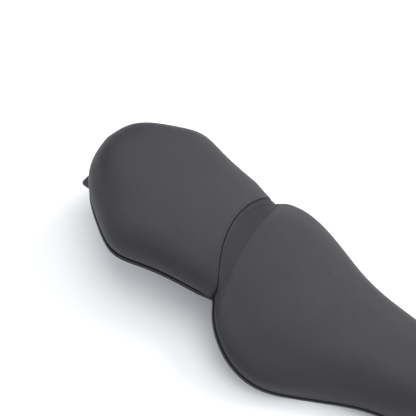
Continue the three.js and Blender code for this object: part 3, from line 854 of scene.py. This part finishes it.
def collar(hole, half, low, top):
    """The profile of a pad or boss: a hole's wall, a flat underside with a bevel, and a side."""
    return [(hole, top), (hole, low), (half - BOSS_EDGE, low), (half, low + BOSS_EDGE), (half, top)]


def merge(parts):
    """Several point and face arrays as one."""
    starts = np.cumsum([0] + [len(points) for points, _ in parts])
    points = np.concatenate([points for points, _ in parts])
    return points, np.concatenate([faces + start for (_, faces), start in zip(parts, starts)])


def make_pan(name):
    """One moulding: plate and skirt, ribs, pads round the buffers' necks and bosses over the screws."""
    seat, body = SEATS[name], f"{name}_seat"
    rows = notches(body)
    parts = [pan_plate(name, rows)]
    for path in rib_paths(name):
        floor = seat["base"](path[:, 0]) + PLACE[2]
        low = raised(np.column_stack([path + PLACE[:2], floor + RIB_LOW]), rows)[:, 2]
        parts.append(bar(path + PLACE[:2], low, floor + PLATE_LOW + LAP, RIB_WIDE))
    for node in BODIES[body]:
        x, y, low_z = upright_axis(node)
        top = float(seat["base"](np.array(x - PLACE[0]))) + PLACE[2] + PLATE_LOW + LAP
        if "buffer" in node:
            parts.append(turned(collar(PAD_HOLE, PAD_HALF, low_z + PAD_UP, top), x, y))
        elif "screw" in node:
            parts.append(turned(collar(BOSS_HOLE, BOSS_HALF, low_z + BOSS_UP, top), x, y))
    points, faces = merge(parts)
    piece = sharp_edges(make_piece(f"{name}_pan_moulding", points, faces), 35)
    return mount_piece(piece, body, "pan_plastic", [f"{name}_pan"])


pans = [make_pan(name) for name in SEATS]

# %% [markdown]
# ## Buffers, screws and the lock's loop
# The buffers are rubber feet with a waist and a hollow underside, turned from one profile. The
# screws have a flange, a chamfered hexagon and a real thread: their radius is a function of the
# angle and the height. The bent sheet steel already has its shape in the frame, so it is copied and
# only its cut edges are eased. The striker loop is a round wire carried along a U.

# %% Buffers
# Radius and height of the foot's profile in millimetres: hollow sole, waist, shoulder, barbed neck.
SOLE = [(0, 2), (5.5, 2), (6.5, 1.6), (7.2, 0.2), (8, 0), (11.6, 0), (12.6, 0.4), (13, 1.4), (13, 3.4)]
WAIST = [(12.2, 4.1), (11.7, 5.2), (11.7, 7.6), (12.1, 8.6), (12.6, 9.4), (12.6, 11.2), (12.1, 11.7)]
NECK = [(4, 11.7), (4, 13), (4.2, 13.6), (4.2, 15.6), (3.6, 17.2), (2.6, 17.7), (0, 17.7)]


def rubber_foot(node, body):
    """A rubber foot: a closed profile turned about the buffer's axis, from its hollow sole to its neck."""
    x, y, low_z = upright_axis(node)
    points = np.array(SOLE + WAIST + NECK) * MM + [0, low_z]
    piece = sharp_edges(make_piece(f"{node}_foot", *turned(points, x, y, 56)), 50)
    return mount_piece(piece, body, "buffer_rubber", [node])


# %% Screws
HEX_FLAT, THREAD_PITCH, THREAD_DEEP, THREAD_HALF = 8 * MM, 1 * MM, 0.28 * MM, 2.7 * MM
SCREW_SIDES, THREAD_RINGS = 72, np.arange(4.3, 12.4, 0.2) * MM
# Radius and height in millimetres; the head's rings are cut to the hexagon where they pass it.
HEAD = [(0.0, 0.0), (2.4, 0.0), (2.6, 0.25), (3.6, 0.25), (3.9, 0.1), (4.2, 0.45), (9, 0.9), (9, 2.4)]
FLANGE_RINGS = [(5.2, 2.8), (5.8, 3.1), (6.0, 3.4), (6.0, 3.9), (5.9, 4.0), (2.75, 4.0)]
POINT = [(1.9, 13), (0, 13.2)]


def flange_screw(node, body):
    """Rings of radius by height and angle: a hexagon with a chamfer, a flange, and a helical thread."""
    x, y, low_z = upright_axis(node)
    angle = np.linspace(0, 2 * math.pi, SCREW_SIDES, endpoint=False)[None, :]
    hexagon = HEX_FLAT / 2 / np.cos((angle + math.pi / 6) % (math.pi / 3) - math.pi / 6)
    rings = [(np.minimum(r * MM, hexagon), z * MM + 0 * angle) for r, z in HEAD]
    rings += [(r * MM + 0 * angle, z * MM + 0 * angle) for r, z in FLANGE_RINGS]
    for z in THREAD_RINGS:
        phase = (z / THREAD_PITCH - angle / (2 * math.pi)) % 1
        rings.append((THREAD_HALF - THREAD_DEEP * np.abs(2 * phase - 1), z + 0 * angle))
    rings += [(r * MM + 0 * angle, z * MM + 0 * angle) for r, z in POINT]
    r, z = np.concatenate([row[0] for row in rings]), np.concatenate([row[1] for row in rings])
    points = np.stack([x + r * np.cos(angle), y + r * np.sin(angle), low_z + z], -1)
    faces = grid_faces(len(rings), SCREW_SIDES, wrap=True)
    piece = sharp_edges(make_piece(f"{node}_turned", points.reshape(-1, 3), faces), 40)
    return mount_piece(piece, body, "zinc_steel", [node])


# %% Sheet steel
CRISP = math.radians(50)  # edges that bend more than this are cut edges


def eased_steel(node, body, slot, edge=0.5 * MM):
    """A copy of a steel part with its cut edges eased: doubles merged, flats joined, edges bevelled."""
    mesh = frame["nodes"][node].data.copy()
    mesh.materials.clear()
    bm = bmesh.new()
    bm.from_mesh(mesh)
    bmesh.ops.remove_doubles(bm, verts=bm.verts, dist=WELD / 2)
    bmesh.ops.dissolve_limit(bm, angle_limit=math.radians(1), verts=bm.verts, edges=bm.edges)
    crisp = [e for e in bm.edges if e.is_manifold and e.calc_face_angle() > CRISP]
    rounding = {"offset": edge, "segments": 3, "profile": 0.5, "clamp_overlap": True}
    bmesh.ops.bevel(bm, geom=crisp, affect="EDGES", **rounding)
    bm.to_mesh(mesh)
    bm.free()
    piece = bpy.data.objects.new(f"{node}_eased", mesh)
    bpy.context.collection.objects.link(piece)
    mesh.polygons.foreach_set("use_smooth", np.full(len(mesh.polygons), True))
    sharp_edges(piece, 30)
    return mount_piece(piece, body, slot, [node])


# %% The striker's loop
LEG_STEPS, BEND_STEPS, DOME_STEPS, WIRE_SIDES = 11, 33, 6, 28


def striker_loop(node, body):
    """A round wire carried along a U: two legs and a half circle, with domed ends."""
    lo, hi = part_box(node)
    x, wire = (lo.x + hi.x) / 2, 3 * MM
    bend = (hi.y - lo.y) / 2 - wire
    turn = np.linspace(0, math.pi, BEND_STEPS)
    legs = np.linspace(hi.z - wire, lo.z + wire + bend, LEG_STEPS + 1)[:-1]
    leg_y = np.full(LEG_STEPS, bend)
    y = np.concatenate([leg_y, bend * np.cos(turn), -leg_y])
    z = np.concatenate([legs, lo.z + wire + bend - bend * np.sin(turn), legs[::-1]])
    path = np.stack([0 * y + x, y, z], 1)
    along = np.gradient(path, axis=0)
    along /= np.linalg.norm(along, axis=1)[:, None]
    dome = np.linspace(0, math.pi / 2, DOME_STEPS + 1)[1:]
    start = path[0] - np.outer(np.sin(dome[::-1]), along[0]) * wire
    finish = path[-1] + np.outer(np.sin(dome), along[-1]) * wire
    path = np.concatenate([start, path, finish])
    radius = wire * np.concatenate([np.cos(dome[::-1]), np.ones(len(y)), np.cos(dome)])
    ends = [np.repeat(along[row], DOME_STEPS, 0) for row in (slice(1), slice(-1, None))]
    along = np.concatenate([ends[0], along, ends[1]])
    side = np.array([1.0, 0, 0])
    other = np.cross(along, side)
    angle = np.linspace(0, 2 * math.pi, WIRE_SIDES, endpoint=False)[None, :, None]
    ring = np.cos(angle) * side + np.sin(angle) * other[:, None]
    points = path[:, None] + radius[:, None, None] * ring
    faces = grid_faces(len(path), WIRE_SIDES, wrap=True)
    piece = make_piece(f"{node}_wire", points.reshape(-1, 3), faces)
    return mount_piece(piece, body, "zinc_steel", [node])


# %% [markdown]
# ### Every small part on its body
# The record lists each body's nodes in order. A node's name says which of the four makers above
# builds its finer piece.

# %% Small parts
for body, members in BODIES.items():
    for node in members:
        if "buffer" in node:
            rubber_foot(node, body)
        elif "screw" in node:
            flange_screw(node, body)
        elif node.endswith("loop"):
            striker_loop(node, body)
        elif node.endswith("plate"):
            eased_steel(node, body, "zinc_steel")
        elif node.endswith(STEEL_ENDINGS):
            eased_steel(node, body, "black_steel")

# %% [markdown]
# ## Floor, light and camera
# The seat is shown on plain pale paper. A broad lamp high on the far side makes the tops read as
# soft slopes, one overhead evens them out, and a weak cool one keeps the near walls from going
# black. The world is a plain pale grey.


# %% Floor
def studio_floor():
    """Pale matte paper, nearly white, with the faintest fibre."""
    m = Maker("pale_floor", Specular_IOR_Level=0.2)
    fibre = m.noise(300, 4)
    color = m.mix(fibre, (0.86, 0.865, 0.87), (0.89, 0.89, 0.89))
    return m.finish(color, 0.85 + 0.1 * fibre, fibre, 0.00005)


low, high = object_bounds()
FLOOR_ROWS, FLOOR_COLUMNS = 41, 61


def make_floor():
    """A wide level sheet of paper, just under the seat's lowest point."""
    x = np.linspace(-3.5, 3.5, FLOOR_ROWS)
    y = np.linspace(-3.5, 4.5, FLOOR_COLUMNS)
    gx, gy = np.meshgrid(x, y, indexing="ij")
    gz = low.z - 0.5 * MM + 0 * gx
    points = np.stack([gx, gy, gz], -1).reshape(-1, 3)
    floor = make_piece("paper_floor", points, grid_faces(FLOOR_ROWS, FLOOR_COLUMNS))
    floor.data.materials.append(studio_floor())


make_floor()


# %% Lights
def softbox(name, place, aim, size, watts, color):
    """A square area lamp that faces a point."""
    lamp = bpy.data.lights.new(name, "AREA")
    lamp.shape, lamp.size, lamp.energy, lamp.color = "SQUARE", size, watts, color
    holder = bpy.data.objects.new(name, lamp)
    bpy.context.collection.objects.link(holder)
    holder.location = place
    holder.rotation_euler = (Vector(aim) - Vector(place)).to_track_quat("-Z", "Y").to_euler()


middle = (low + high) / 2
softbox("far_key", (0.9, 2.3, 2.2), middle, 1.7, 70, (1.0, 0.985, 0.97))
softbox("overhead", (-0.3, 0.3, 2.6), middle, 2.0, 28, (1.0, 1.0, 1.0))
softbox("near_fill", (-0.7, -1.9, 1.5), middle, 1.6, 15, (0.80, 0.88, 1.0))
print("lamps:", ", ".join(lamp.name for lamp in bpy.data.lights))

# %% World
world = bpy.data.worlds.new("studio")
world.use_nodes = True
world.node_tree.nodes["Background"].inputs["Color"].default_value = (0.97, 0.98, 1.0, 1)
world.node_tree.nodes["Background"].inputs["Strength"].default_value = 0.8
bpy.context.scene.world = world
bpy.context.scene.view_settings.view_transform = "Standard"

# %% Camera
CAMERA_TURN, CAMERA_TILT, CAMERA_ROLL = 0.177, 0.93, 0.414  # radians
CAMERA_FROM_SEAM = Vector((0.002, -0.518, 0.756))
SENSOR, LENS = 36, 43.27  # millimetres


def make_camera():
    """A camera from its heading, tilt and roll: right, up and back axes are its matrix's columns."""
    turn, tilt, roll = CAMERA_TURN, CAMERA_TILT, CAMERA_ROLL
    level = Vector((math.cos(turn), math.sin(turn), 0))
    rising = Vector((-math.sin(turn) * math.sin(tilt), math.cos(turn) * math.sin(tilt), math.cos(tilt)))
    back = Vector((math.sin(turn) * math.cos(tilt), -math.cos(turn) * math.cos(tilt), math.sin(tilt)))
    right = math.cos(roll) * level + math.sin(roll) * rising
    up = -math.sin(roll) * level + math.cos(roll) * rising
    data = bpy.data.cameras.new("camera")
    data.sensor_width, data.lens = SENSOR, LENS
    camera = bpy.data.objects.new("camera", data)
    bpy.context.collection.objects.link(camera)
    place = Vector(PLACE) + CAMERA_FROM_SEAM
    camera.matrix_world = Matrix.Translation(place) @ Matrix((right, up, back)).transposed().to_4x4()
    bpy.context.scene.camera = camera


make_camera()
